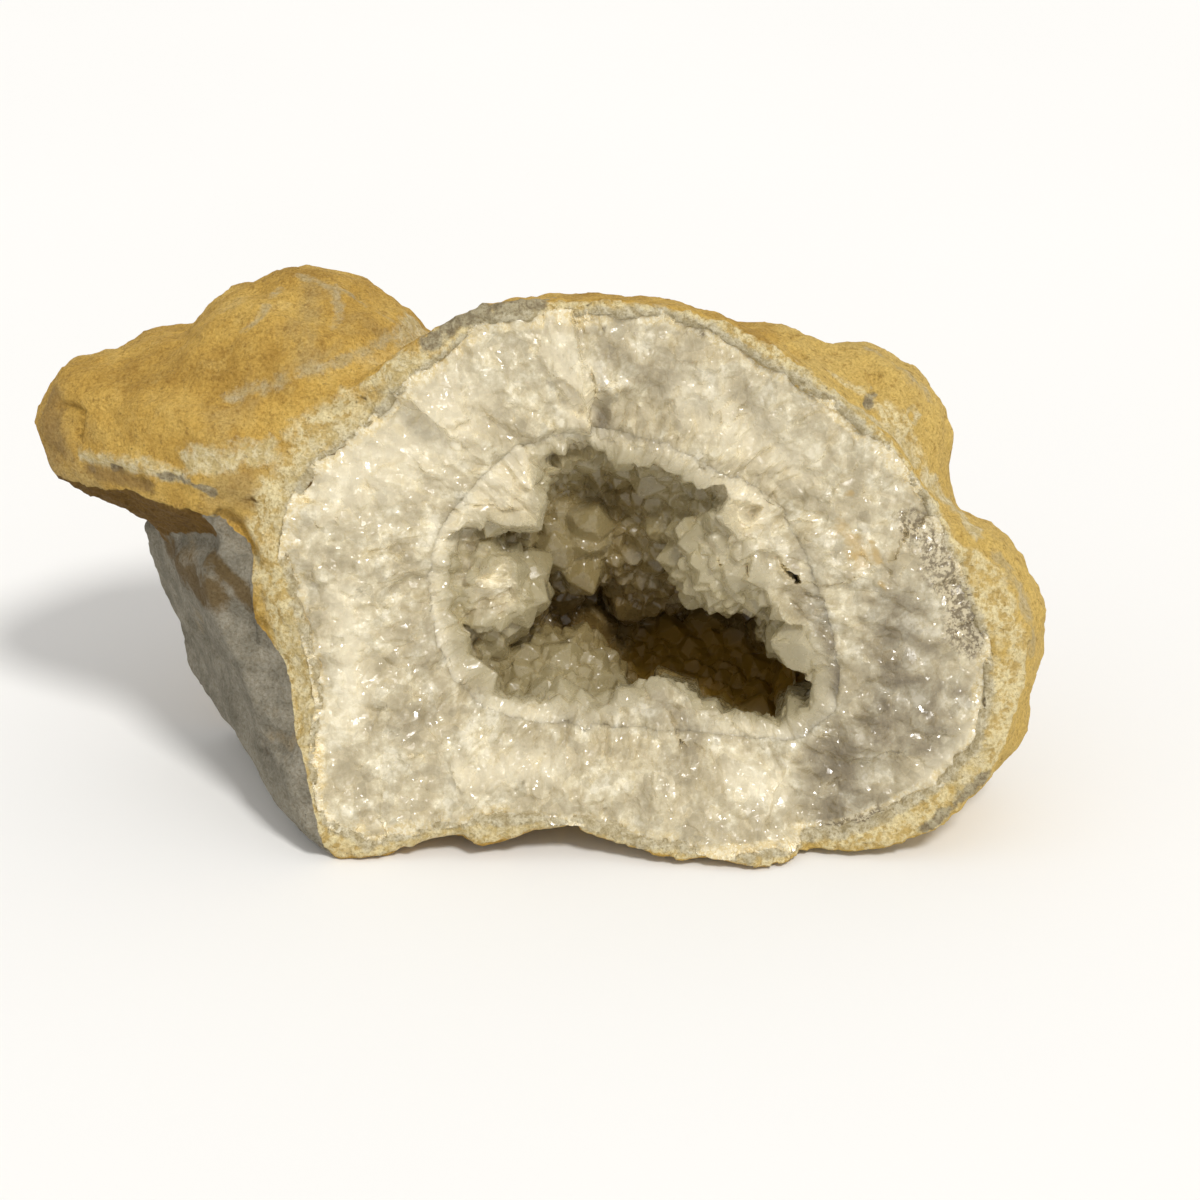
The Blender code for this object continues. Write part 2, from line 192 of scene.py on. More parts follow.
def neighbour_mean(obj, values, rounds):
    """The values averaged over each vertex's neighbours, a few times over."""
    edges = np.empty(len(obj.data.edges) * 2, dtype=np.int64)
    obj.data.edges.foreach_get("vertices", edges)
    first, second = edges[0::2], edges[1::2]
    count = np.bincount(first, minlength=len(values)) + np.bincount(second, minlength=len(values))
    count = np.maximum(count, 1).astype(float)
    columns = values.reshape(len(values), -1).T.copy()
    for _ in range(rounds):
        for column in columns:
            total = np.bincount(first, column[second], len(column))
            total += np.bincount(second, column[first], len(column))
            column[:] = (column + total / count) / 2.0
    return columns.T.reshape(values.shape).copy()


# Places named by a pixel of the photograph

def seen_at(tree, pixel):
    """The point of a surface that shows at that pixel of the photograph, or the nearest to it."""
    across = (pixel[0] - IMAGE_SIZE / 2) * MM_PER_PIXEL
    upward = (IMAGE_SIZE / 2 - pixel[1]) * MM_PER_PIXEL
    toward = RIGHT * across + UP * upward - BACK * CAMERA_DISTANCE
    hit = tree.ray_cast(Vector(CAMERA_PLACE), Vector(toward).normalized())[0]
    if hit is None:
        crossing = (FACE_FRONT - CAMERA_PLACE[1]) / toward[1]
        hit = tree.find_nearest(Vector(CAMERA_PLACE + toward * crossing))[0]
    return np.array(hit)


def pixels_of(points):
    """The pixels of the photograph, across and down, where the points lie."""
    away = points - CAMERA_PLACE
    scale = CAMERA_DISTANCE / (-(away @ BACK)) / MM_PER_PIXEL
    return IMAGE_SIZE / 2 + (away @ RIGHT) * scale, IMAGE_SIZE / 2 - (away @ UP) * scale


def along(tree, points, pixels, width):
    """1 on the line through those pixels' places, and 0 from width away."""
    spots = [seen_at(tree, pixel) for pixel in pixels]
    nearest = np.full(len(points), np.inf)
    for start, end in zip(spots, spots[1:]):
        span = end - start
        part = np.clip((points - start) @ span / max(span @ span, 1e-9), 0.0, 1.0)
        nearest = np.minimum(nearest, np.linalg.norm(points - start - part[:, None] * span, axis=1))
    return 1.0 - smoothstep(nearest, 0.0, width)


def any_along(tree, points, strokes):
    """The strongest of several strokes, each a width and the pixels it passes."""
    found = np.zeros(len(points))
    for width, pixels in strokes:
        found = np.maximum(found, along(tree, points, pixels, width))
    return found


# Crystals as the outermost of many faceted points

class Crystals:
    """Points with flat faces: where each stands, and the planes of its faces."""

    def __init__(self, feet, axes, radii, heights, slope, sides, rng):
        count = len(feet)
        self.feet = feet
        helper = np.where(np.abs(axes[:, 2:3]) < 0.9, [[0.0, 0.0, 1.0]], [[1.0, 0.0, 0.0]])
        first = np.cross(axes, helper)
        first /= np.linalg.norm(first, axis=1, keepdims=True)
        second = np.cross(axes, first)
        turn = rng.uniform(0.0, math.tau, count)
        planes, offsets = [], []
        for side in range(sides):
            angle = turn + math.tau * side / sides + rng.uniform(-0.12, 0.12, count)
            outward = first * np.cos(angle)[:, None] + second * np.sin(angle)[:, None]
            lean = slope * rng.uniform(0.85, 1.12, count)
            face = axes * np.cos(lean)[:, None] + outward * np.sin(lean)[:, None]
            cut = radii * rng.uniform(0.0, 0.28, count)
            planes.append(face)
            offsets.append(heights * np.cos(lean) - cut)
            steep = math.radians(80.0)
            wall = axes * math.cos(steep) + outward * math.sin(steep)
            planes.append(wall)
            offsets.append(radii * rng.uniform(0.9, 1.15, count))
        self.planes = np.stack(planes, axis=1)
        self.offsets = np.stack(offsets, axis=1)

    def reach(self, points, directions, nearby):
        """How far each point goes along its direction to the outermost crystal near it."""
        tree = KDTree(len(self.feet))
        for index, foot in enumerate(self.feet):
            tree.insert(Vector(foot), index)
        tree.balance()
        nearby = min(nearby, len(self.feet))
        near = np.array([[hit[1] for hit in tree.find_n(Vector(p), nearby)] for p in points])
        best = np.full(len(points), -np.inf)
        for column in range(nearby):
            which = near[:, column]
            planes = self.planes[which]
            along_way = np.einsum("nfc,nc->nf", planes, directions)
            room = self.offsets[which] - np.einsum("nfc,nc->nf", planes, points - self.feet[which])
            crossing = np.where(along_way > 0.06, room / np.maximum(along_way, 0.06), np.inf)
            crossing = np.where((along_way <= 0.06) & (room < 0.0), -np.inf, crossing)
            best = np.maximum(best, crossing.min(axis=1))
        return best


def spread(points, radius_of, rng, closeness, tries):
    """Picks points that keep apart by their own radii, and returns their indices and radii."""
    cell = 6.0
    grid = {}
    chosen, radii = [], []
    for index in rng.permutation(len(points))[:tries]:
        x, y, z = points[index]
        radius = radius_of(rng)
        key = (int(x // cell), int(y // cell), int(z // cell))
        others = (other for step in np.ndindex(3, 3, 3)
                  for other in grid.get((key[0] + step[0] - 1, key[1] + step[1] - 1, key[2] + step[2] - 1), ()))
        if all(math.dist((x, y, z), other[:3]) > closeness * (other[3] + radius) for other in others):
            grid.setdefault(key, []).append((x, y, z, radius))
            chosen.append(index)
            radii.append(radius)
    return np.array(chosen), np.array(radii)


def wandered(axes, spread_by, rng):
    """The axes turned a little, each its own way."""
    found = axes + rng.normal(0.0, spread_by, axes.shape)
    return found / np.linalg.norm(found, axis=1, keepdims=True)


# Materials

class Shader:
    """Builds one node material. Sizes are in millimetres."""

    def __init__(self, name):
        self.material = bpy.data.materials.new(name)
        self.material.use_nodes = True
        self.nodes = self.material.node_tree.nodes
        self.links = self.material.node_tree.links
        self.nodes.clear()
        self.place = self.add("ShaderNodeTexCoord").outputs["Object"]

    def add(self, kind, inputs=(), **settings):
        node = self.nodes.new(kind)
        for key, value in settings.items():
            setattr(node, key, value)
        for key, value in dict(inputs).items():
            self.put(node.inputs[key], value)
        return node

    def put(self, socket, value):
        if isinstance(value, bpy.types.NodeSocket):
            self.links.new(value, socket)
        elif hasattr(socket.default_value, "__len__") and len(value) == 3 and len(socket.default_value) == 4:
            socket.default_value = (*value, 1.0)
        else:
            socket.default_value = value

    def noise(self, size, detail=3.0, rough=0.5, distortion=0.0, place=None):
        node = self.add("ShaderNodeTexNoise", {
            "Vector": place or self.place, "Scale": 1.0 / (size * MM), "Detail": detail,
            "Roughness": rough, "Distortion": distortion})
        return node.outputs["Fac"]

    def cells(self, size, feature="F1", output="Distance", place=None):
        node = self.add("ShaderNodeTexVoronoi", {
            "Vector": place or self.place, "Scale": 1.0 / (size * MM)}, feature=feature)
        return node.outputs[output]

    def stretched(self, scale, turn=(0.0, 0.0, 0.0)):
        node = self.add("ShaderNodeMapping", {"Vector": self.place, "Scale": scale, "Rotation": turn})
        return node.outputs["Vector"]

    def math(self, operation, first, second=0.0, third=0.0):
        node = self.add("ShaderNodeMath", {0: first, 1: second, 2: third}, operation=operation)
        return node.outputs[0]

    def step(self, value, low, high, start=0.0, end=1.0):
        node = self.add("ShaderNodeMapRange", {
            "Value": value, "From Min": low, "From Max": high, "To Min": start, "To Max": end},
            interpolation_type="SMOOTHSTEP")
        return node.outputs["Result"]

    def ramp(self, value, stops):
        node = self.add("ShaderNodeValToRGB", {"Fac": value})
        elements = node.color_ramp.elements
        while len(elements) < len(stops):
            elements.new(0.5)
        for element, (position, colour) in zip(elements, stops):
            element.position = position
            element.color = (*colour, 1.0)
        return node.outputs["Color"]

    def mix(self, factor, first, second, blend="MIX"):
        node = self.add("ShaderNodeMix", data_type="RGBA", blend_type=blend)
        self.put(node.inputs["Factor"], factor)
        self.put(node.inputs[6], first)
        self.put(node.inputs[7], second)
        return node.outputs[2]

    def read(self, name):
        return self.add("ShaderNodeAttribute", attribute_name=name).outputs["Fac"]

    def ragged(self, name, size, full=0.85, amount=1.5):
        """A vertex mask broken up by noise, solid only where the mask is strong."""
        rough = self.math("MULTIPLY_ADD", self.noise(size, 5.0, 0.62), amount, -amount / 2)
        return self.step(self.math("ADD", self.read(name), rough), 0.45, full)

    def bump(self, height, distance, strength=1.0, normal=None):
        inputs = {"Height": height, "Distance": distance * MM, "Strength": strength}
        if normal is not None:
            inputs["Normal"] = normal
        return self.add("ShaderNodeBump", inputs).outputs["Normal"]

    def flakes(self, size, amount, normal, place=None):
        """Turns the normal its own way in each small cell, as broken crystal faces do."""
        colour = self.cells(size, output="Color", place=place)
        centred = self.add("ShaderNodeVectorMath", {0: colour, 1: (0.5, 0.5, 0.5)}, operation="SUBTRACT")
        scaled = self.add("ShaderNodeVectorMath", {0: centred.outputs[0], "Scale": amount}, operation="SCALE")
        summed = self.add("ShaderNodeVectorMath", {0: normal, 1: scaled.outputs[0]}, operation="ADD")
        return self.add("ShaderNodeVectorMath", {0: summed.outputs[0]}, operation="NORMALIZE").outputs[0]

    def surface(self, **inputs):
        shader = self.add("ShaderNodeBsdfPrincipled", subsurface_method="BURLEY")
        for key, value in inputs.items():
            self.put(shader.inputs[key.replace("_", " ")], value)
        output = self.add("ShaderNodeOutputMaterial", {"Surface": shader.outputs[0]})
        return self.material


def colour(red, green, blue):
    """A colour given as it looks on a screen, 0 to 255, as the shader's linear values."""
    values = []
    for part in (red, green, blue):
        part /= 255.0
        values.append(part / 12.92 if part <= 0.04045 else ((part + 0.055) / 1.055) ** 2.4)
    return tuple(values)


def finish_piece(obj, material, node, smooth):
    obj.data.materials.clear()
    obj.data.materials.append(material)
    for polygon in obj.data.polygons:
        polygon.use_smooth = smooth
    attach(obj, "root")
    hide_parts(node)


# The limestone

PALE_STROKES = (
    (3.4, ((228, 397), (277, 382), (309, 370), (337, 364), (369, 348), (395, 335))),
    (2.6, ((301, 276), (332, 290), (340, 305), (333, 328))),
    (2.2, ((338, 288), (362, 304), (392, 322))),
    (2.6, ((245, 330), (262, 316), (280, 290))),
    (5.0, ((1000, 560), (1022, 600), (1030, 650))),
    (4.0, ((870, 352), (905, 375), (930, 400))),
)
CREAM_STROKES = (
    (6.5, ((190, 460), (225, 458), (268, 452))),
    (4.2, ((84, 455), (105, 460), (140, 466), (180, 476))),
    (8.0, ((415, 325), (410, 370), (385, 410), (345, 440))),
    (6.0, ((320, 450), (300, 480), (285, 520))),
    (5.0, ((420, 325), (450, 328), (500, 328), (540, 330))),
    (5.0, ((665, 325), (700, 340), (740, 355), (800, 378))),
    (4.0, ((800, 378), (850, 405), (890, 430), (915, 460))),
    (5.5, ((925, 480), (950, 505), (975, 530))),
    (1.6, ((912, 406), (919, 416), (911, 426), (905, 414), (912, 406))),
    (4.0, ((292, 620), (300, 680), (308, 750))),
    (1.4, ((213, 515), (245, 547), (255, 571), (257, 611), (261, 623))),
    (3.6, ((385, 852), (430, 838), (500, 828), (560, 835))),
    (4.0, ((990, 700), (985, 750), (960, 790))),
)
GREY_STROKES = (
    (4.5, ((430, 316), (480, 306), (560, 296), (620, 300))),
    (5.5, ((920, 505), (948, 560), (962, 620), (960, 660))),
    (5.5, ((477, 318), (505, 312), (530, 302), (580, 298))),
    (3.0, ((627, 316), (648, 317))),
    (2.0, ((90, 469), (92, 470))),
    (1.8, ((114, 467), (120, 468))),
    (2.2, ((160, 474), (172, 477), (192, 481), (214, 494))),
    (3.0, ((985, 775), (960, 800), (925, 828))),
    (2.6, ((870, 366), (876, 385), (868, 405))),
    (3.0, ((440, 322), (455, 325))),
)
TIP_STROKES = (
    (9.0, ((52, 400), (54, 440))),
    (5.0, ((90, 470), (115, 476), (150, 486))),
)
BROWN_STROKES = (
    (9.0, ((170, 548), (190, 575), (214, 596))),
    (5.0, ((212, 560), (250, 600))),
)
# Dark marks: the rock's own dark marks, and painted shade in its cracks, grooves and holes
DARK_MARK_AND_SHADE_STROKES = (
    (1.3, ((60, 405), (72, 405), (84, 411), (80, 436))),
    (3.0, ((218, 514), (232, 522), (244, 545), (250, 562))),
    (1.6, ((258, 736), (266, 744), (260, 752), (270, 756))),
    (2.4, ((794, 349), (804, 355))),
    (1.1, ((984, 640), (992, 655))),
    (0.8, ((1003, 650), (1014, 655))),
    (0.7, ((588, 305), (600, 301))),
    (0.8, ((985, 690), (984, 706))),
    (0.8, ((360, 396), (366, 399))),
    (0.7, ((415, 352), (424, 368), (428, 384))),
)
GROOVES = (
    (1.2, 1.2, ((60, 405), (72, 405), (84, 411), (80, 436))),
    (3.0, 3.0, ((224, 520), (236, 530), (246, 548), (251, 562))),
    (1.3, 0.9, ((258, 736), (266, 744), (260, 752), (270, 756))),
    (1.8, 1.6, ((794, 349), (804, 355))),
    (1.0, 0.7, ((984, 640), (992, 655))),
    (2.2, 0.9, ((868, 362), (878, 385), (868, 408))),
    (1.0, 0.6, ((209, 565), (210, 570))),
    (0.9, 0.6, ((355, 320), (380, 335), (408, 330))),
)
RIDGES = (
    (1.2, 1.0, ((213, 512), (242, 543), (254, 575), (257, 611), (262, 640))),
    (1.6, 0.8, ((84, 450), (140, 464), (200, 480))),
)
PIT = (912, 415)
FLANK_EDGE = ((205, 505), (213, 515), (245, 546), (254, 580), (258, 620), (281, 656), (291, 684),
              (294, 732), (303, 756), (312, 800), (324, 845), (340, 870))
STEP_TO_SMOOTH = ((270, 395), (285, 405), (300, 405))


def make_rock(wall_tree):
    rock = remeshed(copy_of("host_rock", "limestone_rock"), ROCK_CELL)
    modified(rock, "SMOOTH", factor=0.6, iterations=4)
    points = places(rock)
    near_wall = distances(wall_tree, points)
    depth = behind_face(points)
    facing = normals(rock) @ FACE_NORMAL
    hidden = (near_wall < 1.1) & (depth > 3.0) & (facing < 0.6)
    decimate_hidden(rock, hidden)

    points = places(rock)
    tree = tree_of(rock)
    even = along(tree, points, STEP_TO_SMOOTH, 9.0)
    soft = neighbour_mean(rock, points, 40)
    points = points + (soft - points) * even[:, None]
    move_to(rock, points)
    rock.data.update()

    tree = tree_of(rock)
    outward = neighbour_mean(rock, normals(rock), 2)
    outward /= np.linalg.norm(outward, axis=1, keepdims=True)
    near_wall = distances(wall_tree, points)
    depth = behind_face(points)
    facing = outward @ FACE_NORMAL
    hidden = (near_wall < 0.7) & (depth > 4.0)
    rim = smoothstep(facing, 0.35, 0.75) * (1.0 - smoothstep(near_wall, 6.0, 13.0)) * (1.0 - smoothstep(depth, 9.0, 14.0))
    flank = smoothstep(-outward[:, 0], 0.35, 0.6) * (1.0 - smoothstep(points[:, 2], 52.0, 58.0))
    flank *= (1.0 - smoothstep(points[:, 0], -38.0, -30.0)) * (1.0 - smoothstep(facing, 0.5, 0.72))
    across, down = pixels_of(points)
    edge_across, edge_down = zip(*FLANK_EDGE)
    left_of_edge = smoothstep(np.interp(down, edge_down, edge_across) - across, -3.0, 3.0)
    left_of_edge *= smoothstep(down, 512.0, 520.0) * (1.0 - smoothstep(depth, 30.0, 45.0))
    flank = np.maximum(flank, left_of_edge)
    # Downward faces under the snout's ledge: they get layered relief, and their colour carries painted shade
    underside = smoothstep(-outward[:, 2], 0.1, 0.5) * smoothstep(points[:, 2], 42.0, 50.0)
    underside *= 1.0 - smoothstep(points[:, 0], -40.0, -30.0)

    height = 0.65 * fractal(points, 13.0, 2, 1)
    height += 0.58 * fractal(points, 5.5, 3, 2) * (1.0 - 0.6 * flank)
    ridged = 1.0 - np.abs(fractal(points, 3.4, 2, 3))
    height += 0.36 * (ridged - 0.6) * (0.8 + rim + 0.4 * underside - 0.5 * flank)
    height += 0.26 * fractal(points, 1.9, 2, 4) * (0.6 + rim)
    pits = smoothstep(fractal(points, 4.2, 2, 5), 0.42, 0.75)
    height -= 0.5 * pits * (1.0 - 0.6 * flank)
    layers = points[:, 2] + 0.25 * points[:, 0] + 1.2 * fractal(points, 9.0, 2, 6)
    height += 0.5 * underside * (np.abs((layers / 2.1) % 1.0 - 0.5) * 2.0 - 0.5)
    lines = (points[:, 2] * 0.8 - points[:, 1] * 0.5) + 0.9 * fractal(points, 12.0, 2, 7)
    height += 0.13 * flank * fractal(np.stack((lines * 2.2, points[:, 1] * 0.35, points[:, 2] * 0.35), 1), 2.4, 2, 8)
    for width, deep, pixels in GROOVES:
        height -= deep * along(tree, points, pixels, width)
    for width, high, pixels in RIDGES:
        height += high * along(tree, points, pixels, width)
    pit = seen_at(tree, PIT)
    away = np.linalg.norm(points - pit, axis=1)
    height += 0.55 * np.exp(-((away - 2.3) / 0.8) ** 2) - 0.9 * np.exp(-(away / 1.7) ** 2)
    height[hidden] = 0.3
    height *= smoothstep(points[:, 2], -0.2, 1.6) * 0.85 + 0.15
    points = points + outward * height[:, None]
    points[:, 2] = np.maximum(points[:, 2], 0.0)
    move_to(rock, points)

    seen = smoothstep(outward @ BACK, 0.02, 0.22)
    cream = any_along(tree, points, CREAM_STROKES) * seen
    contact = 1.0 - smoothstep(near_wall, 0.5, 4.5)
    attribute(rock, "cream", np.maximum(cream, 0.85 * contact * (1.0 - smoothstep(depth, 6.0, 9.0))))
    attribute(rock, "pale", any_along(tree, points, PALE_STROKES) * smoothstep(outward @ BACK, 0.2, 0.5))
    forward = 1.0 - smoothstep(depth, 9.0, 16.0) * smoothstep(points[:, 0], -50.0, -40.0)
    attribute(rock, "grey", any_along(tree, points, GREY_STROKES) * seen * forward)
    attribute(rock, "flank", flank)
    # Right side: a lighter, yellower ochre, partly the stone's own tone and partly painted light on the side the light
    # falls on; the strip takes the same yellow as its own colour
    yellow_and_painted_light = smoothstep(points[:, 0], 30.0, 55.0)
    strip = smoothstep(facing, 0.3, 0.6) * (1.0 - smoothstep(points[:, 0], -44.0, -36.0))
    strip *= (1.0 - smoothstep(points[:, 2], 52.0, 66.0)) * (1.0 - flank)
    attribute(rock, "contact", (1.0 - smoothstep(near_wall, 0.5, 3.8)) * smoothstep(facing, 0.2, 0.5))
    attribute(rock, "yellow_and_painted_light", np.maximum(yellow_and_painted_light, 0.8 * strip))
    attribute(rock, "tip", any_along(tree, points, TIP_STROKES))
    attribute(rock, "brown", any_along(tree, points, BROWN_STROKES))
    attribute(rock, "painted_shade_under", underside)
    attribute(rock, "dark", any_along(tree, points, DARK_MARK_AND_SHADE_STROKES) * seen)
    attribute(rock, "rim", rim)
    finish_piece(rock, rock_material(), "host_rock", True)
    return rock


def rock_material():
    s = Shader("limestone")
    grain = s.noise(0.6, 4.0, 0.7)
    patches = s.noise(16.0, 5.0, 0.62)
    blotches = s.noise(5.0, 5.0, 0.65)
    fine = s.noise(1.8, 5.0, 0.7)
    ochre = s.ramp(patches, (
        (0.32, colour(188, 149, 70)), (0.46, colour(213, 173, 86)),
        (0.58, colour(228, 190, 101)), (0.72, colour(238, 208, 136))))
    weathered = s.step(s.noise(26.0, 5.0, 0.6, 0.5), 0.54, 0.68)
    ochre = s.mix(s.math("MULTIPLY", weathered, 0.45), ochre, s.mix(fine, colour(150, 132, 92), colour(196, 180, 138)))
    # Lighter, yellower ochre: painted light and the stone's yellow on the right side, the stone's own yellow on the
    # strip
    ochre = s.mix(s.math("MULTIPLY", s.ragged("yellow_and_painted_light", 8.0, 0.9, 0.9), 0.75), ochre,
                  s.mix(blotches, colour(222, 188, 98), colour(244, 216, 138)))
    ochre = s.mix(s.math("MULTIPLY", s.step(blotches, 0.52, 0.7), 0.6), ochre, colour(222, 188, 108))
    ochre = s.mix(s.math("MULTIPLY", s.step(fine, 0.52, 0.68), 0.6), ochre, colour(158, 120, 54))
    greyish = s.mix(s.step(fine, 0.38, 0.62), colour(142, 130, 104), colour(192, 181, 150))
    creamy = s.mix(s.step(fine, 0.4, 0.65), colour(218, 197, 140), colour(242, 229, 188))
    speckled = s.mix(s.step(fine, 0.40, 0.56), colour(212, 184, 118), colour(250, 236, 188))
    paler = s.mix(s.step(fine, 0.4, 0.65), colour(196, 176, 128), colour(216, 202, 164))
    tone = s.mix(s.math("MULTIPLY", s.ragged("rim", 8.0, 1.0, 2.2), 0.9), ochre, speckled)
    tone = s.mix(s.math("MULTIPLY", s.ragged("pale", 3.0, 1.1, 2.2), 0.75), tone, paler)
    tone = s.mix(s.ragged("cream", 3.0, 0.95, 1.6), tone, creamy)
    tone = s.mix(s.math("MULTIPLY", s.ragged("grey", 2.6, 0.85, 1.5), 0.95), tone, greyish)
    glassy = s.mix(s.step(fine, 0.4, 0.6), colour(190, 177, 142), colour(226, 217, 188))
    tone = s.mix(s.math("MULTIPLY", s.ragged("contact", 3.0, 0.9, 1.5), 0.85), tone, glassy)
    tone = s.mix(s.math("MULTIPLY", s.ragged("tip", 3.0, 1.0, 1.2), 0.8), tone, colour(160, 130, 78))
    # Grey stone of the left flank, its colour darkened with painted shade because that side leans away from the light
    side = s.mix(s.step(blotches, 0.35, 0.65), colour(134, 129, 114), colour(164, 158, 142))
    side = s.mix(s.math("MULTIPLY", s.step(patches, 0.6, 0.72), 0.6), side, colour(162, 142, 104))
    side = s.mix(s.math("MULTIPLY", s.ragged("brown", 4.0, 0.9, 1.4), 0.85), side, colour(108, 86, 44))
    tone = s.mix(s.ragged("flank", 3.0, 0.6, 0.5), tone, side)
    # Brown layered stone under the snout, its colour darkened with painted shade where the ledge hangs over it
    painted_shade_under = s.mix(fine, colour(84, 58, 18), colour(142, 110, 50))
    tone = s.mix(s.ragged("painted_shade_under", 3.0, 0.8, 1.0), tone, painted_shade_under)
    specks = s.step(s.noise(1.3, 5.0, 0.75), 0.6, 0.68)
    tone = s.mix(s.math("MULTIPLY", specks, 0.45), tone, colour(106, 88, 54))
    # Dark marks of the rock, and painted shade in its cracks, grooves and holes
    tone = s.mix(s.math("MULTIPLY", s.ragged("dark", 1.2, 0.9, 0.8), 0.8), tone, colour(74, 58, 32))
    shade = s.ramp(grain, ((0.32, (0.68, 0.63, 0.54)), (0.60, (1.0, 1.0, 1.0))))
    tone = s.mix(1.0, tone, shade, "MULTIPLY")
    normal = s.bump(fine, 1.0, 1.1)
    normal = s.bump(grain, 0.5, 0.9, normal)
    return s.surface(Base_Color=tone, Roughness=s.step(grain, 0.3, 0.7, 0.95, 0.78), Normal=normal,
                     Specular_IOR_Level=0.25)


# The massive quartz

LEDGE = ((575, 325), (580, 350), (584, 375), (588, 405), (592, 435))
HOLLOW_CENTRE = np.array((14.0, 0.0, 52.0))
ROUND = 264.0
FACE_REACH = 60.0
LIP_REACH = 16.0
SPOT_STROKES = (
    (1.5, ((641, 379), (646, 386))),
    (0.9, ((853, 436), (858, 439))),
    (1.0, ((829, 480), (838, 476))),
    (0.8, ((845, 525), (852, 530))),
)
STAIN_STROKES = (
    (3.0, ((560, 748), (575, 756))),
    (1.6, ((368, 680), (372, 680))),
    (2.4, ((873, 545), (880, 570), (884, 600))),
    (5.0, ((835, 520), (850, 540), (862, 560))),
    (2.0, ((820, 505), (850, 495), (862, 515))),
)
# Painted shade on the broken face: the quartz's colour is darkened where the face lies in shade, as on the low side of
# the ledge's step
PAINTED_SHADE_STROKES = (
    (13.0, ((900, 620), (905, 680), (880, 730), (840, 760), (845, 820))),
    (9.0, ((900, 660), (935, 715), (930, 740))),
    (5.0, ((945, 690), (975, 700))),
    (3.0, ((594, 345), (602, 400), (600, 440))),
)
# More painted shade on the broken face, used at part strength
SHADED_STROKES = (
    (9.0, ((600, 350), (640, 372), (700, 392))),
    (6.0, ((740, 400), (770, 430))),
    (4.0, ((820, 540), (850, 580))),
    (7.0, ((650, 700), (700, 745), (690, 760))),
    (6.0, ((520, 690), (560, 720), (620, 725))),
    (6.0, ((420, 640), (440, 700), (400, 730))),
)
SPECKLE_STROKES = (
    (8.0, ((912, 525), (935, 560), (958, 600), (968, 645))),
    (3.0, ((600, 330), (640, 332), (700, 335))),
    (4.0, ((900, 830), (870, 845), (830, 850))),
)
BRIGHT_STROKES = (
    (16.0, ((350, 470), (400, 450), (450, 420))),
    (6.0, ((560, 345), (575, 375), (582, 410))),
    (8.0, ((690, 400), (730, 430), (800, 465))),
    (6.0, ((340, 600), (355, 660), (345, 720))),
    (7.0, ((460, 775), (500, 770), (540, 765))),
    (7.0, ((740, 775), (780, 790))),
    (5.0, ((930, 780), (960, 755), (985, 730))),
)


def radial_place(points):
    """Where a point lies on the broken face, drawn out along the lines from the hollow's middle."""
    across = points[:, 0] - HOLLOW_CENTRE[0]
    height = (points[:, 2] - HOLLOW_CENTRE[2]) / math.cos(FACE_TILT)
    radius = np.hypot(across, height)
    angle = np.arctan2(height, across)
    return np.stack((radius * 0.62, angle * ROUND / math.tau, np.zeros(len(points))), 1)


def grains(points, spacing, tall, slope, tilt, seed):
    """The relief of broken grains, drawn out towards the hollow."""
    rng = np.random.default_rng(seed)
    flat = radial_place(points)
    across = np.arange(0.0, FACE_REACH, spacing)
    up = np.linspace(-ROUND / 2.0, ROUND / 2.0, round(ROUND / spacing), endpoint=False)
    feet = np.array([(x, y, 0.0) for x in across for y in up])
    feet[:, :2] += rng.uniform(-0.48, 0.48, (len(feet), 2)) * spacing
    axes = wandered(np.tile((0.0, 0.0, 1.0), (len(feet), 1)), tilt, rng)
    radii = spacing * rng.uniform(0.9, 1.5, len(feet))
    crystals = Crystals(feet, axes, radii, tall * rng.uniform(0.5, 1.1, len(feet)), slope, 5, rng)
    once_round = np.array((0.0, ROUND, 0.0))
    crystals.feet = np.concatenate((feet, feet + once_round, feet - once_round))
    crystals.planes = np.tile(crystals.planes, (3, 1, 1))
    crystals.offsets = np.tile(crystals.offsets, (3, 1))
    upward = np.tile((0.0, 0.0, 1.0), (len(flat), 1))
    found = crystals.reach(flat, upward, 9)
    return np.clip(found, -0.4 * tall, 1.4 * tall)


def broken_relief(points, bolder):
    """How far the broken quartz stands out of its smooth face at each point."""
    fine = grains(points, 1.7, 0.9, math.radians(40.0), 0.24, SEED + 1)
    coarse = grains(points, 4.6, 2.0, math.radians(30.0), 0.18, SEED + 2)
    return 0.9 * (fine - 0.45) + (coarse - 1.0) * (0.7 + 0.5 * bolder)


# Where the broken face's colour is darkened as painted shade
def painted_shade_mask(tree, points):
    return np.maximum(any_along(tree, points, PAINTED_SHADE_STROKES), 0.4 * any_along(tree, points, SHADED_STROKES))


def near_hollow(crust_gap):
    """1 at the hollow's edge, where the broken grains are bolder, fading outwards."""
    return 1.0 - smoothstep(crust_gap, 2.0, 14.0)


def lip_depth(wall_tree, points, gaps):
    """How far back the wall's broken face lies beside each point, or infinity far from it."""
    depth = behind_face(points)
    ways = from_middle(points)
    found = np.full(len(points), np.inf)
    for index in np.flatnonzero((gaps < LIP_REACH) & (depth < 12.0)):
        for further in (0.8, 2.5, 5.0, 9.0):
            start = points[index] + ways[index] * (gaps[index] + further) + FACE_NORMAL * 20.0
            hit = wall_tree.ray_cast(Vector(start), Vector(-FACE_NORMAL), 32.0)[0]
            if hit is not None:
                found[index] = behind_face(np.array(hit))
                break
    return found


def meeting(points, gap, lip):
    """1 on the broken face where the wall and the crust meet, fading away from there."""
    behind_lip = np.where(np.isfinite(lip), behind_face(points) - lip, 99.0)
    return (1.0 - smoothstep(gap, 2.0, 6.0)) * (1.0 - smoothstep(behind_lip, 1.2, 3.2))


def from_middle(points):
    """The way along the broken face from the hollow's middle to each point."""
    away = points - HOLLOW_CENTRE
    away -= (away @ FACE_NORMAL)[:, None] * FACE_NORMAL
    return away / np.maximum(np.linalg.norm(away, axis=1, keepdims=True), 1.0)


